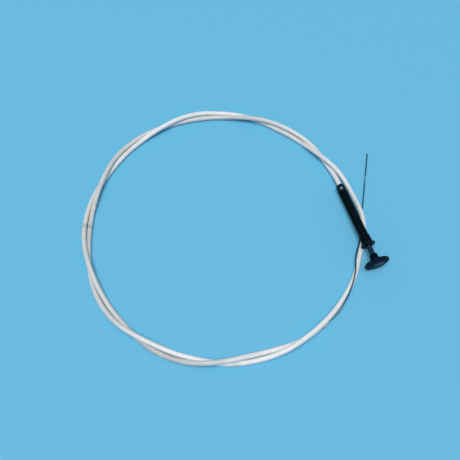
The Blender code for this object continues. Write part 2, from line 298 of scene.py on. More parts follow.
WEAR_SCALE = 0.6  # the noise of the wear, as a share of the grain's
MARK_SCALE = 0.25  # of the handling marks
TONE_SCALE = 0.12  # of the lighter and darker patches
TONE_DARKER = 0.86  # the darker patches, as a share of the clean colour
MARK_ROUGHNESS = 0.2  # how much rougher a handling mark is
RUB_SCALE = 420.0  # the noise that breaks up a rubbed patch, per metre
CLOUD_SCALE = 520.0  # the noise of the conduit's cloudiness, per metre


@dataclass(frozen=True)
class Finish:
    """A finish that varies over the surface, with worn edges and handling marks.

    Attributes:
        name: The material's name.
        colour: Its clean colour, linear.
        worn: The colour where edges are worn.
        dirt: The colour of stains.
        smoothest: The least roughness.
        roughest: The greatest roughness.
        metallic: 1 for bare metal.
        grain: Noise scale of the surface, per metre.
        bump: Height of the fine grain, in metres.
        wear: How much the edges are worn.
        marks: How much handling marks show everywhere.
        shine: The specular level.
        drawn: How far the grain is stretched round the piece, as on turned or drawn metal.
    """

    name: str
    colour: Colour
    worn: Colour
    dirt: Colour
    smoothest: float
    roughest: float
    metallic: float = 0.0
    grain: float = 900.0
    bump: float = 0.000004
    wear: float = 0.5
    marks: float = 0.1
    shine: float = 0.5
    drawn: float = 1.0

    def material(self) -> bpy.types.Material:
        """Builds the node material.

        Returns:
            The material, made once for each finish.
        """
        if self.name in bpy.data.materials:
            return bpy.data.materials[self.name]
        made = bpy.data.materials.new(self.name)
        made.use_nodes = True
        made.diffuse_color = (*self.colour, 1.0)
        wiring = Wiring(made.node_tree)
        place = wiring.add("ShaderNodeTexCoord").outputs["Object"]
        worn = wiring.add("ShaderNodeGroup", {
            "Vector": place, "Edge": wiring.own_value("edge"), "Scale": self.grain * WEAR_SCALE,
            "Amount": self.wear, "Color": self.tone(wiring, place), "Worn Color": self.worn,
        }, node_tree=wear_group())
        marked = wiring.add("ShaderNodeGroup", {
            "Vector": place, "Gathered": wiring.own_value("grime"),
            "Scale": self.grain * MARK_SCALE, "Everywhere": self.marks,
            "Color": worn.outputs["Color"], "Dirt Color": self.dirt,
        }, node_tree=grime_group())
        grain = wiring.add("ShaderNodeGroup", {
            "Vector": self.grained(wiring, place), "Scale": self.grain,
            "Smoothest": self.smoothest, "Roughest": self.roughest,
        }, node_tree=grain_group())
        dull = wiring.math("MULTIPLY", marked.outputs["Mask"], MARK_ROUGHNESS)
        bump = wiring.add("ShaderNodeBump", {
            "Height": grain.outputs["Height"], "Distance": self.bump, "Strength": 1.0})
        wiring.fill(made.node_tree.nodes["Principled BSDF"], {
            "Metallic": self.metallic, "Specular IOR Level": self.shine,
            "Base Color": marked.outputs["Color"], "Normal": bump.outputs["Normal"],
            "Roughness": wiring.math("ADD", grain.outputs["Roughness"], dull, clamp=True),
        })
        return made

    def grained(self, wiring: Wiring, place: Socket) -> Socket:
        """The coordinates of the fine grain, drawn out round a turned piece by its own UV map.

        Args:
            wiring: The material's wiring.
            place: The object's own coordinates.

        Returns:
            The socket of the coordinates.
        """
        if self.drawn == 1.0:
            return place
        return wiring.add("ShaderNodeMapping", {
            "Vector": wiring.add("ShaderNodeUVMap", uv_map="UVMap").outputs["UV"],
            "Scale": (1.0 / self.drawn, 1.0, 1.0),
        }).outputs["Vector"]

    def tone(self, wiring: Wiring, place: Socket) -> Socket:
        """The clean colour, a little lighter and darker over broad patches.

        Args:
            wiring: The material's wiring.
            place: The object's own coordinates.

        Returns:
            The socket of the colour.
        """
        patches = wiring.spread(wiring.noise(place, self.grain * TONE_SCALE, 3.0), 0.35, 0.65)
        darker = tuple(channel * TONE_DARKER for channel in self.colour)
        return wiring.mix(patches, darker, self.colour)


@dataclass(frozen=True)
class HighlightFinish(Finish):
    """A finish with a painted highlight, paler where the piece's own value says.

    Attributes:
        rubbed: The colour of the painted highlight.
        patch: How much of that colour shows at most.
    """

    rubbed: Colour = (0.25, 0.28, 0.35)
    patch: float = 0.95

    def tone(self, wiring: Wiring, place: Socket) -> Socket:
        """The clean colour and, by the piece's own value, the colour of the painted highlight.

        Args:
            wiring: The material's wiring.
            place: The object's own coordinates.

        Returns:
            The socket of the colour.
        """
        base = super().tone(wiring, place)
        # A painted highlight, broken up by noise, where the piece's own value says.
        uneven = wiring.spread(wiring.noise(place, RUB_SCALE, 6.0, 0.7), 0.40, 0.66, 0.15, 1.0)
        face = wiring.math("MULTIPLY", wiring.own_value("rubbed"), uneven)
        return wiring.mix(wiring.math("MULTIPLY", face, self.patch), base, self.rubbed)


@dataclass(frozen=True)
class ConduitFinish(Finish):
    """Off-white plastic cover that lets a little light in, greyed by painted shade along some
    stretches.

    Attributes:
        aged: The grey of the painted shade.
        glow: How much light goes in under the surface.
        glow_reach: How far it goes in, in metres.
    """

    aged: Colour = (0.57, 0.58, 0.575)
    glow: float = 0.3
    glow_reach: float = 0.0015

    def material(self) -> bpy.types.Material:
        """Builds the node material, with the light that goes in under the surface.

        Returns:
            The material, made once.
        """
        made = super().material()
        Wiring(made.node_tree).fill(made.node_tree.nodes["Principled BSDF"], {
            "Subsurface Weight": self.glow, "Subsurface Radius": (1.0, 0.9, 0.8),
            "Subsurface Scale": self.glow_reach,
        })
        return made

    def tone(self, wiring: Wiring, place: Socket) -> Socket:
        """The off-white, greyed by painted shade where the piece's own value says, and a little
        cloudy.

        Args:
            wiring: The material's wiring.
            place: The object's own coordinates.

        Returns:
            The socket of the colour.
        """
        # Painted shade greys the off-white where the piece's own value says.
        base = wiring.mix(wiring.own_value("aged"), self.colour, self.aged)
        cloud = wiring.spread(wiring.noise(place, CLOUD_SCALE, 5.0, 0.65), 0.45, 0.72, 0.0, 0.19)
        return wiring.mix(cloud, base, self.dirt)


# The knob's face takes the default colour of a painted highlight, pale blue-grey.
KNOB_BLACK = HighlightFinish(
    "knob_black", (0.0012, 0.0040, 0.019), (0.05, 0.06, 0.12), (0.04, 0.05, 0.06),
    0.18, 0.32, grain=700.0, bump=0.000002, wear=0.25, marks=0.05, shine=0.03)
TUBE_BLACK = Finish(
    "tube_black", (0.0008, 0.003, 0.0045), (0.08, 0.10, 0.11), (0.012, 0.018, 0.02),
    0.34, 0.50, grain=1100.0, bump=0.000003, wear=0.18, marks=0.06, drawn=6.0, shine=0.065)
BUSH_BLACK = Finish(
    "bush_black", (0.0008, 0.003, 0.005), (0.07, 0.085, 0.10), (0.012, 0.018, 0.02),
    0.38, 0.55, grain=1000.0, bump=0.000004, wear=0.18, marks=0.06, shine=0.065)
FLANGE_BLACK = Finish(
    "flange_black", (0.003, 0.006, 0.011), (0.10, 0.11, 0.14), (0.02, 0.025, 0.025),
    0.36, 0.52, grain=900.0, bump=0.000003, wear=0.25, marks=0.08, shine=0.10)
# The ferrule's last colour is that of its painted highlight.
PLATED = HighlightFinish(
    "plated_metal", (0.032, 0.046, 0.048), (0.30, 0.31, 0.29), (0.02, 0.024, 0.024),
    0.22, 0.40, metallic=1.0, grain=900.0, bump=0.000003, wear=0.4, marks=0.30, drawn=14.0,
    rubbed=(0.52, 0.50, 0.42), patch=0.95)
ROD_STEEL = Finish(
    "rod_steel", (0.045, 0.05, 0.06), (0.16, 0.17, 0.18), (0.03, 0.03, 0.03),
    0.26, 0.42, metallic=1.0, grain=1200.0, bump=0.000002, wear=0.5, marks=0.25, drawn=8.0)
# The wire's last colour is a painted glint along its sliding end.
WIRE_STEEL = HighlightFinish(
    "wire_steel", (0.15, 0.18, 0.21), (0.4, 0.4, 0.4), (0.04, 0.035, 0.03),
    0.28, 0.46, metallic=1.0, grain=800.0, bump=0.000002, wear=0.3, marks=0.30,
    rubbed=(0.70, 0.74, 0.78), patch=0.95)
LINER_STEEL = Finish(
    "liner_steel", (0.30, 0.31, 0.32), (0.5, 0.5, 0.5), (0.10, 0.08, 0.06),
    0.30, 0.50, metallic=1.0, grain=900.0, bump=0.000002, wear=0.3, marks=0.30)
CONDUIT_WHITE = ConduitFinish(
    "conduit_white", (0.87, 0.88, 0.89), (0.88, 0.88, 0.88), (0.21, 0.22, 0.20),
    0.28, 0.46, grain=500.0, bump=0.000004, wear=0.0, marks=0.13)
RING_RUBBER = Finish(
    "ring_rubber", (0.02, 0.02, 0.02), (0.05, 0.05, 0.05), (0.06, 0.06, 0.055),
    0.70, 0.90, grain=1500.0)
GUIDE_NYLON = Finish(
    "guide_nylon", (0.62, 0.59, 0.52), (0.7, 0.68, 0.62), (0.25, 0.22, 0.18),
    0.40, 0.60, grain=900.0, marks=0.2)
ANCHOR_BRASS = Finish(
    "anchor_brass", (0.60, 0.43, 0.19), (0.75, 0.6, 0.35), (0.16, 0.11, 0.06),
    0.28, 0.45, metallic=1.0, grain=1100.0, marks=0.2)


# Turned pieces

LONGEST_FILLET = 0.45  # as a share of the shorter side
SUPPORT_SHARE = 0.4  # how far a fillet's support points lie from it, as a share of it
SUPPORT_REACH = 0.04 * MM  # and at most
POLE = 1e-7  # a point nearer to the axis is on it


@dataclass(frozen=True)
class Corner:
    """A corner of a turned piece's outline.

    Attributes:
        radius: Its distance from the axis.
        station: Its place along the handle.
        fillet: The radius that rounds it, or 0 for a sharp one.
        exposed: How much wear it takes, from 0 to 1.
    """

    radius: float
    station: float
    fillet: float = 0.0
    exposed: float = 0.0


@dataclass
class Outline:
    """The outline of a turned piece, running down its outside from the front.

    Attributes:
        points: (radius, station, exposed) of each point.
        closed: Whether it ends where it starts, as on a ring or sleeve.
    """

    points: list[tuple[float, float, float]] = field(default_factory=list)
    closed: bool = False

    def rounded(self, corners: Sequence[Corner], steps: int = 6) -> Outline:
        """Adds corners, each rounded by its fillet with a support point on either side.

        Args:
            corners: The corners in order. In an open outline the first and last aren't rounded.
            steps: Segments along each fillet.

        Returns:
            This outline.
        """
        count = len(corners)
        for i, corner in enumerate(corners):
            here = np.array((corner.radius, corner.station))
            ends = not self.closed and i in (0, count - 1)
            if corner.fillet <= 0 or ends:
                self.points.append((corner.radius, corner.station, corner.exposed))
                continue
            before = corners[i - 1]
            after = corners[(i + 1) % count]
            back = np.array((before.radius, before.station)) - here
            ahead = np.array((after.radius, after.station)) - here
            reach = (np.linalg.norm(back), np.linalg.norm(ahead))
            back, ahead = back / reach[0], ahead / reach[1]
            half = math.acos(float(np.clip(back @ ahead, -1, 1))) / 2
            run = min(corner.fillet / math.tan(half), LONGEST_FILLET * min(reach))
            support = min(SUPPORT_SHARE * run, SUPPORT_REACH)
            start, end = here + back * run, here + ahead * run
            self.points.append((*(start + back * support), 0.0))
            for k in range(steps + 1):
                t = k / steps
                at = (1 - t) ** 2 * start + 2 * t * (1 - t) * here + t**2 * end
                self.points.append((*at, corner.exposed * math.sin(math.pi * t)))
            self.points.append((*(end + ahead * support), 0.0))
        return self

    def curve(self, points: Iterable[tuple[float, float]], exposed: float = 0.0) -> Outline:
        """Adds points of a curve as they are."""
        self.points += [(radius, station, exposed) for radius, station in points]
        return self

    def mesh(self, name: str, steps: int = 96) -> bpy.types.Mesh:
        """Turns the outline about +Z.

        Args:
            name: The mesh's name.
            steps: Segments round the piece.

        Returns:
            A closed mesh with an edge value and a UV map that runs round and along.
        """
        work = bmesh.new()
        edge = work.verts.layers.float.new("edge")
        chart = work.loops.layers.uv.new("UVMap")
        rings: list[list[bmesh.types.BMVert]] = []
        along = [0.0]
        for i, (radius, station, exposed) in enumerate(self.points):
            if i:
                last = self.points[i - 1]
                along.append(along[-1] + math.hypot(radius - last[0], station - last[1]))
            turns = [0.0] if radius < POLE else [2 * math.pi * j / steps for j in range(steps)]
            ring = [work.verts.new((radius * math.cos(a), radius * math.sin(a), station))
                    for a in turns]
            for vert in ring:
                vert[edge] = exposed
            rings.append(ring)
        pairs = list(zip(range(len(rings)), range(1, len(rings))))
        if self.closed:
            pairs.append((len(rings) - 1, 0))
        for upper, lower in pairs:
            ends = (along[upper], along[lower] if lower else along[upper])
            self._band(work, chart, rings[upper], rings[lower], ends, steps)
        made = bpy.data.meshes.new(name)
        bmesh.ops.recalc_face_normals(work, faces=work.faces)
        work.to_mesh(made)
        work.free()
        made.shade_smooth()
        return made

    @staticmethod
    def _band(work: bmesh.types.BMesh, chart: bmesh.types.BMLayerItem,
              upper: list[bmesh.types.BMVert], lower: list[bmesh.types.BMVert],
              along: tuple[float, float], steps: int) -> None:
        """Faces between two rings, or between a ring and a pole.

        Args:
            work: The mesh in the making.
            chart: Its UV layer.
            upper: The points of the first ring.
            lower: The points of the next one.
            along: How far each ring lies along the outline.
            steps: Segments round the piece.
        """
        for j in range(steps):
            k = (j + 1) % steps
            corners = [
                (upper[j % len(upper)], j, 0), (lower[j % len(lower)], j, 1),
                (lower[k % len(lower)], j + 1, 1), (upper[k % len(upper)], j + 1, 0),
            ]
            kept = [c for i, c in enumerate(corners) if c[0] not in [d[0] for d in corners[:i]]]
            if len(kept) < 3:
                continue
            face = work.faces.new([c[0] for c in kept])
            for loop, (_, turn, end) in zip(face.loops, kept):
                loop[chart].uv = (turn / steps, along[end])


def arc_points(middle: tuple[float, float], radius: float, start: float, end: float,
               steps: int) -> list[tuple[float, float]]:
    """Points of an arc of an outline, with its angles in degrees from the radial direction."""
    turns = [math.radians(start + (end - start) * i / steps) for i in range(steps + 1)]
    return [(middle[0] + radius * math.cos(a), middle[1] + radius * math.sin(a)) for a in turns]


# Geometry Nodes


def in_scene(name: str, data: bpy.types.ID) -> bpy.types.Object:
    """A new object in the scene.

    Args:
        name: The object's name.
        data: Its mesh, light or camera.

    Returns:
        The object.
    """
    made = bpy.data.objects.new(name, data)
    bpy.context.scene.collection.objects.link(made)
    return made


def shaped(name: str, base: bpy.types.Mesh, kind: str, inputs: dict[str, object],
           **settings: object) -> bpy.types.Mesh:
    """What a modifier makes of a mesh, as a plain mesh.

    Args:
        name: The name of the result.
        base: The mesh that the modifier works on.
        kind: The modifier's type.
        inputs: The value of each of the modifier's inputs, by its identifier.
        **settings: Properties of the modifier, which are set before its inputs.

    Returns:
        The result, with the modifier and its object removed.
    """
    holder = in_scene(f"{name}_base", base)
    modifier = holder.modifiers.new("build", kind)
    for key, value in settings.items():
        setattr(modifier, key, value)
    for identifier, value in inputs.items():
        modifier[identifier] = value
    graph = bpy.context.evaluated_depsgraph_get()
    made = bpy.data.meshes.new_from_object(
        holder.evaluated_get(graph), preserve_all_data_layers=True, depsgraph=graph)
    made.name = name
    holder.modifiers.remove(modifier)
    bpy.data.objects.remove(holder)
    return made


@dataclass(frozen=True)
class MadeTree:
    """A Geometry Nodes tree and the identifiers of its inputs.

    Attributes:
        tree: The node tree.
        inputs: The identifier of each named input.
    """

    tree: bpy.types.NodeTree
    inputs: dict[str, str]

    def run(self, name: str, base: bpy.types.Mesh, values: dict[str, object]) -> bpy.types.Mesh:
        """Runs the tree on a mesh.

        Args:
            name: The name of the result.
            base: The mesh that the tree starts from.
            values: The value of each input, by its name.

        Returns:
            The result as a plain mesh.
        """
        given = {self.inputs[label]: value for label, value in values.items()}
        return shaped(name, base, "NODES", given, node_group=self.tree)


def geometry_tree(name: str, inputs: Sequence[str], build: Callable[[Wiring, Sockets], Socket]
                  ) -> MadeTree:
    """A tree that ends in smooth shading, real geometry and the finish.

    Args:
        name: The tree's name.
        inputs: The name of each input, apart from the geometry and the finish.
        build: Adds the nodes and returns the socket of the shape.

    Returns:
        The tree and its inputs.
    """
    tree = bpy.data.node_groups.new(name, "GeometryNodeTree")
    names = new_sockets(tree, ("Geometry", *inputs, "Finish:Material"), "INPUT")
    new_sockets(tree, ("Geometry",), "OUTPUT")
    wiring = Wiring(tree)
    given = wiring.add("NodeGroupInput").outputs
    shape = build(wiring, given)
    for kind, more in (("SetShadeSmooth", {}), ("RealizeInstances", {}),
                       ("SetMaterial", {"Material": given["Finish"]})):
        shape = wiring.add(f"GeometryNode{kind}", {"Geometry": shape, **more}).outputs[0]
    wiring.add("NodeGroupOutput", {"Geometry": shape})
    return MadeTree(tree, names)


def sweep_tree() -> MadeTree:
    """A round section swept along a route, with its values carried along.

    Returns:
        The tree, with the section's radius, its sides and whether the ends are closed as inputs.
    """

    def build(wiring: Wiring, given: Sockets) -> Socket:
        """The route as a curve, and a circle swept along it.

        Args:
            wiring: The wiring of the tree.
            given: The socket of each input.

        Returns:
            The socket of the shape.
        """
        route = wiring.add("GeometryNodeMeshToCurve", {"Mesh": given["Geometry"]})
        section = wiring.add("GeometryNodeCurvePrimitiveCircle", {
            "Resolution": given["Sides"], "Radius": given["Radius"]}, mode="RADIUS")
        return wiring.add("GeometryNodeCurveToMesh", {
            "Curve": route.outputs[0], "Profile Curve": section.outputs[0],
            "Fill Caps": given["Capped"],
        }).outputs[0]

    return geometry_tree("round_section_sweep", ("Radius", "Sides:Int", "Capped:Bool"), build)


def coil_tree() -> MadeTree:
    """A flat strip wound into an open coil along +Z.

    Returns:
        The tree, with the coil's radius, its strip, pitch, turns and steps as inputs.
    """

    def build(wiring: Wiring, given: Sockets) -> Socket:
        """A spiral held upright, and the strip's section swept along it.

        Args:
            wiring: The wiring of the tree.
            given: The socket of each input.

        Returns:
            The socket of the shape.
        """
        spiral = wiring.add("GeometryNodeCurveSpiral", {
            "Resolution": given["Steps"], "Rotations": given["Turns"],
            "Start Radius": given["Radius"], "End Radius": given["Radius"],
            "Height": wiring.math("MULTIPLY", given["Pitch"], given["Turns"]),
        })
        upright = wiring.add("GeometryNodeSetCurveNormal", {"Curve": spiral.outputs[0]},
                             mode="Z_UP")
        section = wiring.add("GeometryNodeCurvePrimitiveQuadrilateral", {
            "Width": given["Strip Thickness"], "Height": given["Strip Width"],
        }, mode="RECTANGLE")
        return wiring.add("GeometryNodeCurveToMesh", {
            "Curve": upright.outputs[0], "Profile Curve": section.outputs[0],
            "Fill Caps": True,
        }).outputs[0]

    return geometry_tree("wound_strip", (
        "Radius", "Strip Width", "Strip Thickness", "Pitch", "Turns", "Steps:Int"), build)


def route_mesh(points: np.ndarray, values: dict[str, np.ndarray]) -> bpy.types.Mesh:
    """A route as a chain of edges, with a value at each point for each name.

    Args:
        points: The route's points.
        values: The numbers along the route, by the name of each value.

    Returns:
        The mesh.
    """
    made = bpy.data.meshes.new("route")
    made.from_pydata(points.tolist(), [(i, i + 1) for i in range(len(points) - 1)], [])
    for name, numbers in values.items():
        made.attributes.new(name, "FLOAT", "POINT").data.foreach_set(
            "value", np.asarray(numbers, np.float32))
    return made


# Finished pieces


def finished_piece(name: str, mesh: bpy.types.Mesh, finish: Finish, body: Body, node: str
                   ) -> bpy.types.Object:
    """Puts a finished mesh on its body in place of its CAD node.

    Args:
        name: The piece's name.
        mesh: Its mesh, in the part's frame.
        finish: Its finish.
        body: The body that it rides on.
        node: The CAD node that it stands for.

    Returns:
        The piece's object.
    """
    if not mesh.materials:
        mesh.materials.append(finish.material())
    mesh.materials[0] = finish.material()
    piece = in_scene(name, mesh)
    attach(piece, body.value)
    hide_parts(node)
    LOG.info("%s: %d faces, rides on %s", name, len(mesh.polygons), body.value)
    return piece


def dressed_node(node: str, finish: Finish) -> None:
    """Gives a CAD node that stays as it is its finish.

    Args:
        node: The node's name.
        finish: Its finish.
    """
    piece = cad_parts[node]
    piece.data.materials.clear()
    piece.data.materials.append(finish.material())
    LOG.info("%s: kept from the part", node)


def turned_piece(outline: Outline, name: str, finish: Finish, body: Body, node: str,
                 place: Matrix, rubbed: Callable[[Vector], float] | None = None,
                 steps: int = 96) -> bpy.types.Object:
    """Turns an outline and puts it on the handle's line.

    Args:
        outline: The piece's outline.
        name: The piece's name.
        finish: Its finish.
        body: The body that it rides on.
        node: The CAD node that it stands for.
        place: What puts a piece turned about +Z on the handle's line.
        rubbed: How strong the piece's painted highlight is at a point, before it is put in place.
        steps: Segments round the piece.

    Returns:
        The piece's object.
    """
    mesh = outline.mesh(name, steps)
    if rubbed:
        mesh.attributes.new("rubbed", "FLOAT", "POINT").data.foreach_set(
            "value", [rubbed(vertex.co) for vertex in mesh.vertices])
    mesh.transform(place)
    mesh.update()
    return finished_piece(name, mesh, finish, body, node)


# The handle


@dataclass(frozen=True)
class HandleSizes:
    """Sizes of the handle, as in the part, in metres.

    Stations run along the handle and count from the ferrule's rear, which is at rear. The handle's
    line rises by tilt towards the knob.
    """

    clearance: float = 0.0003
    rear: Point = (0.0, 0.049063, 0.006983)
    tilt: float = math.radians(3.55)
    # the ferrule, and the conduit and wire that it holds
    ferrule_length: float = 0.0074
    ferrule_radius: float = 0.0046
    bead: float = 0.0004
    bead_span: float = 0.0050
    bead_setback: float = 0.0012
    ferrule_spigot: float = 0.0031
    conduit_radius: float = 0.0025
    conduit_seat: float = 0.0050
    wire_radius: float = 0.00075
    # the tube
    body_length: float = 0.0568
    body_radius: float = 0.0047
    body_wall: float = 0.0008
    # the bush and the flange
    collar_length: float = 0.0098
    collar_rear_radius: float = 0.00525
    collar_front_radius: float = 0.0057
    collar_spigot: float = 0.0033
    flange_radius: float = 0.0075
    flange_thickness: float = 0.0010
    flange_recess: float = 0.0004
    # the grip ring
    grip_section: float = 0.0012
    grip_setback: float = 0.0040
    # the rod, the guide piston and the wire in the rod
    rod_radius: float = 0.0027
    neck_radius: float = 0.0017
    rod_exposed: float = 0.0117
    rod_in_knob: float = 0.0058
    piston_length: float = 0.0050
    wire_in_rod: float = 0.0045
    travel: float = 0.0300
    # the knob
    hub_length: float = 0.0088
    hub_cylinder: float = 0.0029
    hub_rear_radius: float = 0.0042
    hub_front_radius: float = 0.0050
    knob_radius: float = 0.0130
    rim_thickness: float = 0.0016
    crown: float = 0.0010
    back_rise: float = 0.0008
    flare: float = 0.0030
    # stations and radii that follow
    body_rear: float = ferrule_length + clearance
    body_front: float = body_rear + body_length
    collar_rear: float = body_front + clearance
    collar_front: float = collar_rear + collar_length
    flange_rear: float = collar_front + clearance - flange_recess
    flange_front: float = flange_rear + flange_thickness
    hub_rear: float = flange_front + rod_exposed
    rim_middle: float = hub_rear + hub_length + rim_thickness / 2
    piston_front: float = collar_rear - collar_spigot - clearance - travel
    body_bore: float = body_radius - body_wall
    spigot_radius: float = body_bore - clearance
    rod_bore: float = rod_radius + clearance
    wire_bore: float = wire_radius + clearance

    @property
    def place(self) -> Matrix:
        """Puts a piece turned about +Z on the handle's line."""
        return (Matrix.Translation(Vector(self.rear))
                @ Matrix.Rotation(math.pi / 2 - self.tilt, 4, "X"))

    def station(self, distance: float) -> Vector:
        """The point on the handle's line at a station."""
        return self.place @ Vector((0, 0, distance))


@dataclass
class Barrel:
    """The fixed, rigid pieces of the handle.

    Attributes:
        sizes: The handle's sizes.
        bright_station: Station of the painted highlight on the ferrule.
        bright_angle: Its angle about the handle's line, in degrees from the right.
        bright_reach: Half its length, in metres, and half its width, in degrees.
        bead_steps: Segments along the ferrule's bead.
    """

    sizes: HandleSizes
    bright_station: float = 0.0060
    bright_angle: float = 104.0
    bright_reach: tuple[float, float] = (0.0010, 17.0)
    bead_steps: int = 16

    def ferrule(self) -> bpy.types.Object:
        """The plated ferrule, with its rolled bead, the lip that grips the conduit and a painted
        highlight.

        Returns:
            The piece's object.
        """
        s = self.sizes
        length, radius = s.ferrule_length, s.ferrule_radius
        spigot_front = length + s.ferrule_spigot
        bore, seat = s.conduit_radius + s.clearance, s.conduit_seat + s.clearance
        front = Outline().rounded([
            Corner(s.wire_bore, spigot_front), Corner(s.spigot_radius, spigot_front, 0.0003),
            Corner(s.spigot_radius, length, 0.0001), Corner(radius, length, 0.0002, 0.8),
            Corner(radius, length - s.bead_setback * 0.8),
        ])
        bead_front = length - s.bead_setback
        steps = self.bead_steps
        bead = [(radius + s.bead * math.sin(math.pi * t / steps) ** 1.2,
                 bead_front - s.bead_span * t / steps) for t in range(steps + 1)]
        rear = Outline().rounded([
            Corner(radius, bead_front - s.bead_span - 0.0002), Corner(radius, 0, 0.0006, 1.0),
            Corner(bore, 0, 0.0003, 0.5), Corner(bore, seat, 0.0001), Corner(s.wire_bore, seat),
        ])
        whole = Outline(front.points, closed=True).curve(bead, 0.25)
        whole.points += rear.points

        def rubbed(at: Vector) -> float:
            """The painted highlight: most at a spot on the upper side, by the bead.

            Args:
                at: A point of the ferrule, before it is put in place.

            Returns:
                How strong the painted highlight is, from 0 to 1.
            """
            round_by = math.degrees(math.atan2(at.y, at.x)) - self.bright_angle
            far = math.hypot((at.z - self.bright_station) / self.bright_reach[0],
                             round_by / self.bright_reach[1])
            return math.exp(-(far**2)) if math.hypot(at.x, at.y) > radius * 0.98 else 0.0

        return turned_piece(whole, "plated_ferrule", PLATED, Body.BARREL, "rear_ferrule",
                            s.place, rubbed)

    def tube(self) -> bpy.types.Object:
        """The plain black tube, with its ends rolled in a little.

        Returns:
            The piece's object.
        """
        s = self.sizes
        front, rear = s.body_front, s.body_rear
        outline = Outline(closed=True).rounded([
            Corner(s.body_bore, front, 0.0001), Corner(s.body_radius, front, 0.0004, 0.9),
            Corner(s.body_radius, rear, 0.0004, 0.9), Corner(s.body_bore, rear, 0.0001),
        ])
        return turned_piece(outline, "handle_tube", TUBE_BLACK, Body.BARREL, "body_tube", s.place)

    def collar(self) -> bpy.types.Object:
        """The flared front bush, with its spigot and the groove of the grip ring.

        Returns:
            The piece's object.
        """
        s = self.sizes
        front, rear = s.collar_front, s.collar_rear
        spigot = rear - s.collar_spigot
        middle, half = front - s.grip_setback, s.grip_section / 2 + s.clearance
        groove = s.rod_bore + s.grip_section / 2 + half
        outline = Outline(closed=True).rounded([
            Corner(s.rod_bore, front, 0.0003), Corner(s.collar_front_radius, front, 0.0004, 0.9),
            Corner(s.collar_rear_radius, rear, 0.0004, 0.9), Corner(s.spigot_radius, rear, 0.0001),
            Corner(s.spigot_radius, spigot, 0.0003), Corner(s.rod_bore, spigot, 0.0001),
            Corner(s.rod_bore, middle - half), Corner(groove, middle - half),
            Corner(groove, middle + half), Corner(s.rod_bore, middle + half),
        ])
        return turned_piece(outline, "front_bush", BUSH_BLACK, Body.BARREL, "front_collar", s.place)

    def flange(self) -> bpy.types.Object:
        """The thin round flange, recessed behind for the bush's end.

        Returns:
            The piece's object.
        """
        s = self.sizes
        recess = s.collar_front_radius + s.clearance
        floor = s.flange_rear + s.flange_recess
        outline = Outline(closed=True).rounded([
            Corner(s.rod_bore, s.flange_front, 0.0002),
            Corner(s.flange_radius, s.flange_front, 0.00035, 1.0),
            Corner(s.flange_radius, s.flange_rear, 0.00035, 1.0),
            Corner(recess, s.flange_rear, 0.00008), Corner(recess, floor, 0.00008),
            Corner(s.rod_bore, floor, 0.0001),
        ])
        return turned_piece(outline, "panel_flange", FLANGE_BLACK, Body.BARREL,
                            "mounting_flange", s.place)

    def build(self) -> list[bpy.types.Object]:
        """Builds the pieces from the ferrule to the flange."""
        dressed_node("grip_ring", RING_RUBBER)
        return [self.ferrule(), self.tube(), self.collar(), self.flange()]


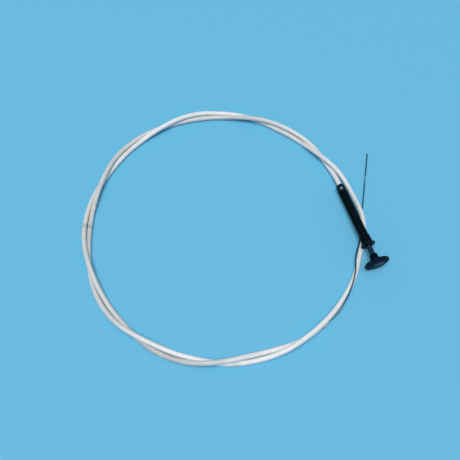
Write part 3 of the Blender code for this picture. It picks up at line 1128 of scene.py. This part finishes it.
@dataclass
class Puller:
    """The knob and the rod, which slide together.

    Attributes:
        sizes: The handle's sizes.
        face_steps: Points from the middle of the knob's face to its rim.
        knob_steps: Segments round the knob.
        rim_steps: Segments over the knob's rim.
        flare_steps: Segments along the flare of its hub.
        patch_reach: Half the length and half the width of the painted highlight, as shares of the
            face.
        patch_middle: How far the patch lies to the right of the face's middle.
    """

    sizes: HandleSizes
    face_steps: int = 24
    knob_steps: int = 128
    rim_steps: int = 20
    flare_steps: int = 14
    patch_reach: tuple[float, float] = (0.46, 0.32)
    patch_middle: float = 0.0018

    def knob_outline(self) -> Outline:
        """The knob: domed face, round rim, flared hub, and the bore that takes the rod.

        Returns:
            The outline, from the middle of the knob's face to the bottom of its bore.
        """
        s = self.sizes
        rim = s.rim_thickness / 2
        rim_place = s.knob_radius - rim
        front = s.rim_middle + rim + s.crown
        outline = Outline().curve(
            (rim_place * i / self.face_steps, front - s.crown * (i / self.face_steps) ** 2)
            for i in range(self.face_steps))
        outline.curve(arc_points((rim_place, s.rim_middle), rim, 90, -90, self.rim_steps),
                      0.55)
        back = s.rim_middle - rim - s.back_rise
        outline.curve([(rim_place - 0.0006, s.rim_middle - rim - 0.05 * s.back_rise)])
        outline.curve(arc_points((s.hub_front_radius + s.flare, back - s.flare), s.flare,
                                 90, 180, self.flare_steps))
        seat = s.hub_rear + s.rod_in_knob + s.clearance
        hub = Outline().rounded([
            Corner(s.hub_front_radius, back - s.flare),
            Corner(s.hub_rear_radius, s.hub_rear + s.hub_cylinder, 0.0008),
            Corner(s.hub_rear_radius, s.hub_rear, 0.0005, 0.8),
            Corner(s.rod_bore, s.hub_rear, 0.0002), Corner(s.rod_bore, seat, 0.0001),
            Corner(0, seat),
        ])
        outline.points += hub.points[1:]
        return outline

    def knob(self) -> bpy.types.Object:
        """The knob, with the value that says where its face has a painted highlight.

        Returns:
            The piece's object.
        """
        s = self.sizes
        reach = [share * s.knob_radius for share in self.patch_reach]
        face = s.rim_middle + s.rim_thickness / 2

        def rubbed(at: Vector) -> float:
            """The painted highlight: most in the middle of the patch."""
            far = math.hypot((at.x - self.patch_middle) / reach[0], at.y / reach[1])
            return max(0.0, 1 - far**2) if at.z >= face else 0.0

        return turned_piece(self.knob_outline(), "knob_moulding", KNOB_BLACK, Body.PULLER,
                            "knob", s.place, rubbed, self.knob_steps)

    def rod(self) -> bpy.types.Object:
        """The steel rod, with its neck for the guide piston and its bore for the wire.

        Returns:
            The piece's object.
        """
        s = self.sizes
        front = s.hub_rear + s.rod_in_knob
        shoulder = s.piston_front + s.clearance
        rear = s.piston_front - s.piston_length
        bottom = rear + s.wire_in_rod + s.clearance
        outline = Outline().rounded([
            Corner(0, front), Corner(s.rod_radius, front, 0.0003),
            Corner(s.rod_radius, shoulder, 0.0002, 0.5), Corner(s.neck_radius, shoulder, 0.0001),
            Corner(s.neck_radius, rear, 0.0002), Corner(s.wire_bore, rear, 0.0001),
            Corner(s.wire_bore, bottom, 0.0001), Corner(0, bottom),
        ])
        return turned_piece(outline, "steel_rod", ROD_STEEL, Body.PULLER, "pull_rod", s.place)

    def build(self) -> list[bpy.types.Object]:
        """Builds the knob and the rod, and dresses what is hidden in the tube.

        Returns:
            The objects of the two pieces.
        """
        dressed_node("guide_piston", GUIDE_NYLON)
        dressed_node("wire_anchor", ANCHOR_BRASS)
        dressed_node("drive_wire", WIRE_STEEL)
        return [self.knob(), self.rod()]


# The cable


def eased(share: float) -> float:
    """A smooth step from 0 to 1."""
    share = min(max(share, 0.0), 1.0)
    return (1 - math.cos(math.pi * share)) / 2


def smooth(knots: Sequence[Sequence[float]], at: float) -> list[float]:
    """The values at a place on the smooth curve through knots of (place, value, ...).

    Args:
        knots: The place and the values of each knot, in rising order of the places.
        at: The place.

    Returns:
        The values there, which past either end stay as they are at the end.
    """
    last = len(knots) - 1
    i = max(k for k in range(last) if k == 0 or knots[k][0] <= at)

    def slope(k: int, column: int) -> float:
        """The slope through a knot's neighbours."""
        low, high = max(k - 1, 0), min(k + 1, last)
        return (knots[high][column] - knots[low][column]) / (knots[high][0] - knots[low][0])

    width = knots[i + 1][0] - knots[i][0]
    t = min(max((at - knots[i][0]) / width, 0.0), 1.0)
    return [
        (2 * t**3 - 3 * t**2 + 1) * knots[i][column]
        + (t**3 - 2 * t**2 + t) * width * slope(i, column)
        + (3 * t**2 - 2 * t**3) * knots[i + 1][column]
        + (t**3 - t**2) * width * slope(i + 1, column)
        for column in range(1, len(knots[i]))
    ]


def flowing(points: Sequence[Vector], step: float, lowest: float) -> np.ndarray:
    """Points at even steps on the smooth curve through a route's points.

    Args:
        points: The route's points.
        step: The distance between the points that come back.
        lowest: The least height of a point over the floor.

    Returns:
        An array of points, from the first to the last.
    """
    knots = np.array([tuple(p) for p in points])
    spans = np.linalg.norm(np.diff(knots, axis=0), axis=1)
    places = np.concatenate([[0.0], np.cumsum(spans)])
    count = len(knots)
    system, right = np.zeros((count, count)), np.zeros((count, 3))
    system[0, 0] = system[-1, -1] = 1.0
    for i in range(1, count - 1):
        system[i, i - 1:i + 2] = (spans[i - 1], 2 * (spans[i - 1] + spans[i]), spans[i])
        right[i] = 6 * ((knots[i + 1] - knots[i]) / spans[i]
                        - (knots[i] - knots[i - 1]) / spans[i - 1])
    bend = np.linalg.solve(system, right)
    at = np.linspace(0, places[-1], max(2, round(places[-1] / step) + 1))
    k = np.clip(np.searchsorted(places, at, side="right") - 1, 0, count - 2)
    width = spans[k][:, None]
    a = (places[k + 1][:, None] - at[:, None]) / width
    b = 1 - a
    found = (a * knots[k] + b * knots[k + 1]
             + ((a**3 - a) * bend[k] + (b**3 - b) * bend[k + 1]) * width**2 / 6)
    found[:, 2] = np.maximum(found[:, 2], lowest)
    return found


@dataclass(frozen=True)
class RingRoute:
    """The route of the conduit and the bare wire.

    It is the part's, apart from a little room for the pushed-in knob, the place of the cut end and
    the bare wire's first bend. Angles are in degrees about the ring's middle, counted from +X
    towards +Y, and go past 360 on the second turn. The two turns are wound over and under each
    other.

    Attributes:
        handle: The handle's sizes.
        radius: The ring's radius, to the middle of the pair.
        from_rear: The ring's middle, from the handle's rear end.
        pitch: The distance between the two strands.
        side_by_side: Angles where the strands lie side by side, between which they cross.
        stacked_from: The angle where the last twist ends.
        stacked_twist: How much of a half turn the last twist makes.
        twist_ease: How much the twist slows down where the strands lie side by side.
        starts: The angle where the conduit joins the pair.
        ends: The angle where it is cut off, on the second turn.
        steps: Points between one place side by side and the next.
        leaves_straight: How far the conduit runs straight on from the ferrule.
        drift: (angle, outside) of the pair's drift from the true circle.
        lift: (angle, height) of what lifts the pair off the floor.
        free_lay: (angle, outside, height) of the stretch between the two turns.
        rejoins: The angle where it joins the pair again.
        cut_end_outside: How far the cut end is moved outwards.
        bare_bend: (angle, outside, height) of the bare wire over the strand.
        bare_laid: (angle, outside) of the bare wire on the floor.
        straight_from: Where the straight end starts, from the handle's rear end.
        tip: Where it ends.
        feed: How much of it stays still, so that the rest can slide over it.
        floor_gap: The gap between the wire and the floor.
        anchor_length: The length of the crimp in the handle.
        past_seat: How far in front of the conduit's seat the wire's second point lies.
        every: The wire follows one in so many of the conduit's points.
        least_gap: The least distance between the last of those and the cut end.
    """

    handle: HandleSizes
    radius: float = 0.1428
    from_rear: tuple[float, float] = (-0.1346, -0.0078)
    pitch: float = 0.0056
    side_by_side: tuple[float, ...] = (3.0, 32.0, 74.5, 116.0, 159.0, 200.5, 235.0, 269.5)
    stacked_from: float = 287.0
    stacked_twist: float = 0.47
    twist_ease: float = 0.3
    starts: float = 12.0
    ends: float = 657.7
    steps: int = 6
    leaves_straight: float = 0.0015
    drift: tuple = (
        (4.0, -0.0013), (18.0, -0.0049), (32.0, -0.0026), (46.0, -0.0029), (60.0, -0.0017),
        (78.0, 0.0006), (98.0, -0.0003), (118.0, 0.0009), (138.0, -0.0020), (158.0, -0.0016),
        (178.0, -0.0015), (198.0, 0.0006), (218.0, 0.0007), (238.0, 0.0005), (254.0, -0.0001),
        (268.0, -0.0014), (284.0, 0.0009), (298.0, 0.0007))
    lift: tuple = ((3.0, 0.0008), (14.0, 0.0009), (24.0, 0.0007), (45.0, 0.0), (60.0, 0.0))
    free_lay: tuple = (
        (306.0, 0.0008, 0.0022), (313.0, 0.0012, 0.0002), (320.0, 0.0016, 0.0),
        (327.0, 0.0015, 0.0), (333.0, 0.0025, 0.0), (336.5, 0.0039, 0.0001),
        (339.2, 0.0044, 0.0006), (342.2, 0.0049, 0.0016), (346.0, 0.0051, 0.0021),
        (350.0, 0.0045, 0.0016), (354.5, 0.0033, 0.0004), (360.0, 0.0019, 0.0002),
        (364.5, 0.0009, 0.0017))
    rejoins: float = 369.0
    cut_end_outside: float = 0.0017
    bare_bend: tuple = (
        (299.8, 0.0034, 0.0035), (303.2, 0.0044, 0.0053), (306.5, 0.0040, 0.0067),
        (310.0, 0.0035, 0.0065), (313.0, 0.0031, 0.0061), (316.0, 0.0025, 0.0061),
        (319.5, 0.0015, 0.0062), (323.0, 0.0003, 0.0060), (326.0, -0.0013, 0.0051),
        (329.0, -0.0021, 0.0034), (332.0, -0.0016, 0.0018))
    bare_laid: tuple = ((335.0, -0.0001),)
    straight_from: tuple[float, float] = (-0.0026, -0.0638)
    tip: tuple[float, float] = (0.0468, 0.0321)
    feed: float = 0.0360
    floor_gap: float = 0.0001
    anchor_length: float = 0.0030
    past_seat: float = 0.0010
    every: int = 4
    least_gap: float = 0.0040

    @property
    def middle(self) -> Vector:
        """The middle of the ring, on the floor."""
        return Vector((self.from_rear[0], self.handle.rear[1] + self.from_rear[1], 0))

    @property
    def laid_height(self) -> float:
        """Height of the middle of the wire where it lies on the floor."""
        return self.handle.wire_radius + self.floor_gap

    def on_ring(self, angle: float, outside: float, height: float) -> Vector:
        """A point by its angle, its distance outside the ring's radius and its height."""
        turn, reach = math.radians(angle), self.radius + outside
        return self.middle + Vector((reach * math.cos(turn), reach * math.sin(turn), height))

    def bounds(self) -> tuple[float, ...]:
        """The angles where the strands lie side by side, and last where they stay stacked."""
        return (*self.side_by_side, self.stacked_from)

    def twist(self, angle: float) -> float:
        """How far the pair has turned about its middle.

        Args:
            angle: The angle on the first turn.

        Returns:
            The turn, in radians.
        """
        bounds = self.bounds()
        last = len(self.side_by_side) - 1
        k = max(i for i in range(last + 1) if i == 0 or bounds[i] <= angle)
        even = min(max((angle - bounds[k]) / (bounds[k + 1] - bounds[k]), 0.0), 1.0)
        share = even + self.twist_ease * (eased(even) - even)
        return math.pi * (k + share * (self.stacked_twist if k == last else 1))

    def paired(self, angle: float, second: bool) -> Vector:
        """A point of one strand of the pair.

        Args:
            angle: The angle on the first turn.
            second: Whether it is the strand of the second turn.

        Returns:
            The point.
        """
        turned, side = self.twist(angle), 1 if second else -1
        outside = smooth(self.drift, angle)[0] + side * self.pitch / 2 * math.cos(turned)
        rise = max(0.0, side * self.pitch * math.sin(turned))
        lift = max(0.0, smooth(self.lift, angle)[0])
        return self.on_ring(angle, outside, self.handle.conduit_radius + lift + rise)

    def pair_angles(self, start: float, end: float) -> list[float]:
        """Angles at even steps between the places where the strands lie side by side.

        Args:
            start: The least angle.
            end: The greatest angle.

        Returns:
            The angles from start to end.
        """
        bounds = self.bounds()
        angles = [
            low + (high - low) * i / self.steps
            for low, high in zip(bounds, bounds[1:]) for i in range(self.steps)
        ]
        return [a for a in angles if start <= a <= end]

    def conduit(self) -> list[Vector]:
        """The points down the middle of the conduit, from its seat to its cut end.

        Returns:
            The points.
        """
        last = self.ends - 360
        seat = self.handle.conduit_seat
        points = [self.handle.station(d) for d in (seat, seat / 2, 0.0, -self.leaves_straight)]
        points += [self.paired(a, False) for a in self.pair_angles(self.starts, last)]
        points.append(self.paired(last, False))
        radius = self.handle.conduit_radius
        points += [self.on_ring(a, out, radius + up) for a, out, up in self.free_lay]
        points += [self.paired(a, True) for a in self.pair_angles(self.rejoins - 360, last - 1)]
        aside = self.on_ring(last, self.cut_end_outside, 0) - self.on_ring(last, 0, 0)
        points.append(self.paired(last, True) + aside)
        return points

    def on_floor(self, place: tuple[float, float]) -> Vector:
        """A point of the wire where it lies on the floor, from the handle's rear end."""
        return Vector((place[0], self.handle.rear[1] + place[1], self.laid_height))

    def split(self) -> Vector:
        """Where the sliding end of the wire begins."""
        start, tip = self.on_floor(self.straight_from), self.on_floor(self.tip)
        return start + self.feed * (tip - start).normalized()

    def wire(self, conduit: np.ndarray) -> list[Vector]:
        """The points down the wire, from inside the handle to the split.

        Args:
            conduit: Points down the middle of the conduit.

        Returns:
            The wire's points.
        """
        h = self.handle
        anchor_rear = h.piston_front - h.piston_length - h.clearance - self.anchor_length
        points = [h.station(anchor_rear / 2 - h.clearance),
                  h.station(h.conduit_seat + self.past_seat)]
        points += [Vector(p) for p in conduit[::self.every]]
        if (points[-1] - Vector(conduit[-1])).length < self.least_gap:
            points.pop()
        points.append(Vector(conduit[-1]))
        points += [self.on_ring(*knot) for knot in self.bare_bend]
        points += [self.on_ring(a, out, self.laid_height) for a, out in self.bare_laid]
        start, split = self.on_floor(self.straight_from), self.split()
        points += [start.lerp(split, share) for share in (0.0, 0.33, 0.66, 1.0)]
        return points


@dataclass(frozen=True)
class Stain:
    """A grubby stretch of the conduit.

    Attributes:
        angle: Its place on the ring, past 360 on the second turn.
        reach: Half its length, in degrees.
        strength: How dark it is.
    """

    angle: float
    reach: float
    strength: float


@dataclass
class Cable:
    """The conduit, its coil liner and the wire.

    Attributes:
        route: The route that they follow.
        length: The real length of the conduit; not used.
        cover_wall: Wall of the plastic cover.
        liner_radius: Outer radius of the coil liner.
        liner_wall: Thickness of the liner's strip.
        strip_pitch: Distance between the liner's turns.
        shown_turns: Turns of the liner that are wound, behind the cut end.
        stains: Where the conduit is grubby.
        aged: How much painted shade greys the cover: (angle, share).
        overlap: How far the fixed wire runs on inside the sliding end.
        thinner: How much thinner the fixed wire is.
        rubbed: The middle and the reach of the painted highlight, a glint along the sliding end, as
            shares of that end.
        cover_step: The distance between the points of the conduit.
        wire_step: The distance between the points of the wire.
        tail_points: Points along the sliding end.
        sides: Segments round the cover, the liner and the wire.
        coil_steps: Segments in each turn of the liner.
        strip_share: The width of the liner's strip, as a share of its pitch.
        sweep: The tree that sweeps a section along a route.
    """

    route: RingRoute
    length: float = 1.641
    cover_wall: float = 0.00080
    liner_radius: float = 0.00160
    liner_wall: float = 0.00030
    strip_pitch: float = 0.00088
    shown_turns: int = 14
    stains: tuple[Stain, ...] = (
        Stain(162.7, 1.0, 1.0), Stain(522.7, 1.1, 1.0), Stain(168, 5, 0.30), Stain(583, 6, 0.5),
        Stain(594, 4, 0.45), Stain(258, 2, 0.5), Stain(612, 3, 0.35), Stain(130, 3, 0.25),
        Stain(480, 5, 0.22), Stain(655.5, 3.0, 0.8), Stain(70, 4, 0.18), Stain(640, 4, 0.25))
    # Painted shade that greys the cover, by angle on the ring.
    aged: tuple[tuple[float, float], ...] = (
        (0.0, 0.3), (40.0, 0.4), (62.0, 0.8), (90.0, 0.6), (116.0, 0.7), (140.0, 0.6),
        (160.0, 0.8), (205.0, 0.7), (216.0, 0.3), (228.0, 0.0), (300.0, 0.0), (330.0, 0.3),
        (372.0, 0.3), (400.0, 0.6), (415.0, 0.5), (428.0, 0.0), (484.0, 0.0), (500.0, 0.5),
        (560.0, 0.6), (582.0, 0.9), (606.0, 0.8), (618.0, 0.2), (640.0, 0.0), (660.0, 0.1))
    overlap: float = 0.0125
    thinner: float = 0.00001
    rubbed: tuple[float, float] = (0.53, 0.07)
    cover_step: float = 0.0022
    wire_step: float = 0.0020
    tail_points: int = 49
    sides: tuple[int, int, int] = (24, 12, 14)
    coil_steps: int = 20
    strip_share: float = 0.86
    sweep: MadeTree = field(default_factory=sweep_tree)

    def turns(self, points: np.ndarray) -> np.ndarray:
        """The angle of each of the conduit's points on the ring, past 360 on the second turn."""
        away = points[:, :2] - np.array(self.route.middle[:2])
        return np.degrees(np.unwrap(np.arctan2(away[:, 1], away[:, 0])))

    def grime(self, points: np.ndarray) -> np.ndarray:
        """How grubby the conduit is at each of its points.

        Args:
            points: Points down the middle of the conduit.

        Returns:
            The value at each of them, from 0 to 1.
        """
        turns = self.turns(points)
        found = np.zeros(len(points))
        for stain in self.stains:
            bell = np.exp(-(((turns - stain.angle) / stain.reach) ** 2))
            found = np.maximum(found, stain.strength * bell)
        return found

    def swept(self, name: str, points: np.ndarray, radius: float, sides: int, finish: Finish,
              capped: bool = False, **values: np.ndarray) -> bpy.types.Mesh:
        """A round section swept along points, with each named value carried along."""
        return self.sweep.run(name, route_mesh(points, values), {
            "Radius": radius, "Sides": sides, "Capped": capped, "Finish": finish.material()})

    def conduit(self) -> tuple[bpy.types.Object, np.ndarray]:
        """The plastic cover, open at its cut end, as one unbroken tube.

        Returns:
            The piece's object, and the points down its middle.
        """
        radius = self.route.handle.conduit_radius
        points = flowing(self.route.conduit(), self.cover_step, radius)
        # The painted shade at each point, by its angle on the ring.
        places, shares = zip(*self.aged)
        skin = self.swept("cover_skin", points, radius, self.sides[0], CONDUIT_WHITE,
                          grime=self.grime(points),
                          aged=np.interp(self.turns(points), places, shares))
        mesh = walled(skin, "white_conduit", self.cover_wall)
        return finished_piece("white_conduit", mesh, CONDUIT_WHITE, Body.BARREL,
                              "conduit_sheath"), points

    def liner(self, points: np.ndarray) -> bpy.types.Object:
        """The spring-steel liner: wound turns behind the cut end, and a plain tube before them.

        Args:
            points: Points down the middle of the conduit.

        Returns:
            The piece's object.
        """
        wound = self.strip_pitch * self.shown_turns
        steps = np.concatenate([[0], np.cumsum(np.linalg.norm(np.diff(points, axis=0), axis=1))])
        plain = points[steps < steps[-1] - wound]
        skin = self.swept("liner_skin", plain[::2], self.liner_radius, self.sides[1], LINER_STEEL)
        tube = walled(skin, "liner_tube", self.liner_wall)
        start, end = Vector(plain[-1]), Vector(points[-1])
        coil = coil_tree().run("liner_turns", route_mesh(points[:2], {}), {
            "Radius": self.liner_radius - self.liner_wall / 2,
            "Strip Width": self.strip_pitch * self.strip_share,
            "Strip Thickness": self.liner_wall,
            "Pitch": (end - start).length / self.shown_turns, "Turns": float(self.shown_turns),
            "Steps": self.coil_steps, "Finish": LINER_STEEL.material()})
        turn = (end - start).to_track_quat("Z", "Y").to_matrix().to_4x4()
        coil.transform(Matrix.Translation(start) @ turn)
        mesh = joined([tube, coil], "coil_liner")
        return finished_piece("coil_liner", mesh, LINER_STEEL, Body.BARREL, "conduit_liner")

    def wire(self, conduit: np.ndarray) -> tuple[bpy.types.Object, np.ndarray]:
        """The fixed stretch of the wire, with a thinner end that stays in the sliding one.

        Args:
            conduit: Points down the middle of the conduit.

        Returns:
            The piece's object, and the points down its middle.
        """
        route = self.route
        points = flowing(route.wire(conduit), self.wire_step, route.laid_height)
        split, tip = route.split(), route.on_floor(route.tip)
        ahead = (tip - split).normalized()
        beyond = [split + ahead * d for d in (0.0003, self.overlap / 2, self.overlap)]
        points = np.vstack([points, [tuple(p) for p in beyond]])
        mesh = self.swept("long_wire", points, route.handle.wire_radius - self.thinner,
                          self.sides[2], WIRE_STEEL, capped=True)
        return finished_piece("long_wire", mesh, WIRE_STEEL, Body.BARREL, "core_wire"), points

    def tail(self) -> tuple[bpy.types.Object, np.ndarray]:
        """The straight sliding end of the wire, with a painted highlight along it.

        Returns:
            The piece's object, and the points down its middle.
        """
        route = self.route
        split, tip = route.split(), route.on_floor(route.tip)
        shares = np.linspace(0, 1, self.tail_points)
        points = np.array([tuple(split.lerp(tip, share)) for share in shares])
        # A painted highlight, a glint along the middle of the sliding end.
        middle, reach = self.rubbed
        rubbed = np.exp(-(((shares - middle) / reach) ** 2))
        mesh = self.swept("straight_tail", points, route.handle.wire_radius, self.sides[2],
                          WIRE_STEEL, capped=True, rubbed=rubbed)
        return finished_piece("straight_tail", mesh, WIRE_STEEL, Body.WIRE_END,
                              "tail_wire"), points

    def build(self) -> list[bpy.types.Object]:
        """Builds the cable.

        Returns:
            The objects of the four pieces.
        """
        conduit, path = self.conduit()
        liner = self.liner(path)
        wire, wire_path = self.wire(path)
        tail, tail_path = self.tail()
        handle = self.route.handle
        tuple(handle.station(0))
        tuple(handle.station(0))
        route_length(wire_path)
        tuple(self.route.split())
        route_length(tail_path)
        return [conduit, liner, wire, tail]


def route_length(points: np.ndarray) -> float:
    """The length of a route."""
    return float(np.linalg.norm(np.diff(points, axis=0), axis=1).sum())


def walled(skin: bpy.types.Mesh, name: str, wall: float) -> bpy.types.Mesh:
    """An open tube with a wall that grows inwards, as a plain mesh."""
    return shaped(name, skin, "SOLIDIFY", {}, thickness=wall, offset=-1, use_even_offset=True)


def joined(meshes: Sequence[bpy.types.Mesh], name: str) -> bpy.types.Mesh:
    """Several meshes as one.

    Args:
        meshes: The meshes.
        name: The joined mesh's name.

    Returns:
        The joined mesh, with the first one's material.
    """
    work = bmesh.new()
    for mesh in meshes:
        work.from_mesh(mesh)
    made = bpy.data.meshes.new(name)
    work.to_mesh(made)
    work.free()
    made.shade_smooth()
    made.materials.append(meshes[0].materials[0])
    return made


# The studio


@dataclass
class Studio:
    """Floor, light and camera.

    Attributes:
        floor_colour: The pale blue of the floor, linear.
        floor_roughness: How matt the floor is.
        floor_reach: Half the width of the floor.
        eye: Where the camera stands.
        aim: The point that it looks at.
        focal: Its focal length, in pixels of the picture.
        picture: The width of the picture, in pixels.
        sensor: The width of the camera's sensor, in millimetres.
        nearest: The least distance that the camera sees.
        sky_level: The strength of the light from all round.
        lamp_level: The strength of the soft lamp.
        lamp_width: The width of the soft lamp, as an angle in degrees.
        lamp_from: The direction that its light comes from.
    """

    floor_colour: Colour = (0.128, 0.49, 0.735)
    floor_roughness: float = 0.7
    floor_reach: float = 3.0
    eye: Point = (-0.2072, -0.2200, 0.5586)
    aim: Point = (-0.1275, 0.0369, 0.0)
    focal: float = 590.5
    picture: float = 460.0
    sensor: float = 36.0
    nearest: float = 0.01
    sky_level: float = 0.32
    lamp_level: float = 2.1
    lamp_width: float = 36.0
    lamp_from: Point = (-0.13, -0.12, 1.10)

    def floor(self) -> None:
        """The plain pale floor."""
        reach = self.floor_reach
        mesh = bpy.data.meshes.new("floor")
        mesh.from_pydata([(-reach, -reach, 0), (reach, -reach, 0), (reach, reach, 0),
                          (-reach, reach, 0)], [], [(0, 1, 2, 3)])
        paint = bpy.data.materials.new("pale_floor")
        paint.use_nodes = True
        Wiring(paint.node_tree).fill(paint.node_tree.nodes["Principled BSDF"], {
            "Base Color": self.floor_colour, "Roughness": self.floor_roughness})
        mesh.materials.append(paint)
        in_scene("floor", mesh)

    def sky(self) -> None:
        """Plain soft light from all round, with the floor's colour behind the object."""
        world = bpy.data.worlds.new("soft_light")
        bpy.context.scene.world = world
        world.use_nodes = True
        wiring = Wiring(world.node_tree)
        nodes = world.node_tree.nodes
        soft = nodes["Background"]
        wiring.fill(soft, {"Color": (1.0, 1.0, 1.0), "Strength": self.sky_level})
        behind = wiring.add("ShaderNodeBackground", {"Color": self.floor_colour, "Strength": 1.0})
        ray = wiring.add("ShaderNodeLightPath").outputs
        shown = wiring.math("MAXIMUM", ray["Is Camera Ray"], wiring.math(
            "MAXIMUM", ray["Is Glossy Ray"], ray["Is Transmission Ray"]))
        mixed = wiring.add("ShaderNodeMixShader", {
            0: shown, 1: soft.outputs[0], 2: behind.outputs[0]})
        wiring.fill(nodes["World Output"], {"Surface": mixed.outputs[0]})

    def lamp(self) -> None:
        """One wide soft lamp from nearly overhead, which lights the whole floor evenly."""
        light = bpy.data.lights.new("soft_lamp", "SUN")
        light.angle = math.radians(self.lamp_width)
        light.energy = self.lamp_level
        lamp = in_scene("soft_lamp", light)
        lamp.rotation_euler = (-Vector(self.lamp_from)).to_track_quat("-Z", "Y").to_euler()

    def camera(self) -> None:
        """The camera, at the photograph's angle."""
        lens = bpy.data.cameras.new("camera")
        lens.sensor_width = self.sensor
        lens.lens = self.focal * self.sensor / self.picture
        lens.clip_start = self.nearest
        camera = in_scene("camera", lens)
        camera.location = self.eye
        towards = Vector(self.aim) - Vector(self.eye)
        camera.rotation_euler = towards.to_track_quat("-Z", "Y").to_euler()
        bpy.context.scene.camera = camera

    def build(self) -> None:
        """Builds the studio."""
        bpy.context.scene.view_settings.view_transform = "Standard"
        self.floor()
        self.sky()
        self.lamp()
        self.camera()
        LOG.info("studio: floor, soft light and camera")


def main() -> None:
    """Builds the studio and the object."""
    logging.basicConfig(level=logging.INFO, format="%(message)s")
    Studio().build()
    sizes = HandleSizes()
    cable = Cable(RingRoute(sizes)).build()
    barrel = Barrel(sizes).build()
    puller = Puller(sizes).build()
    for piece in (*cable, *barrel, *puller):
        LOG.info("built %s", piece.name)
    bpy.context.view_layer.update()


if __name__ == "__main__":
    main()
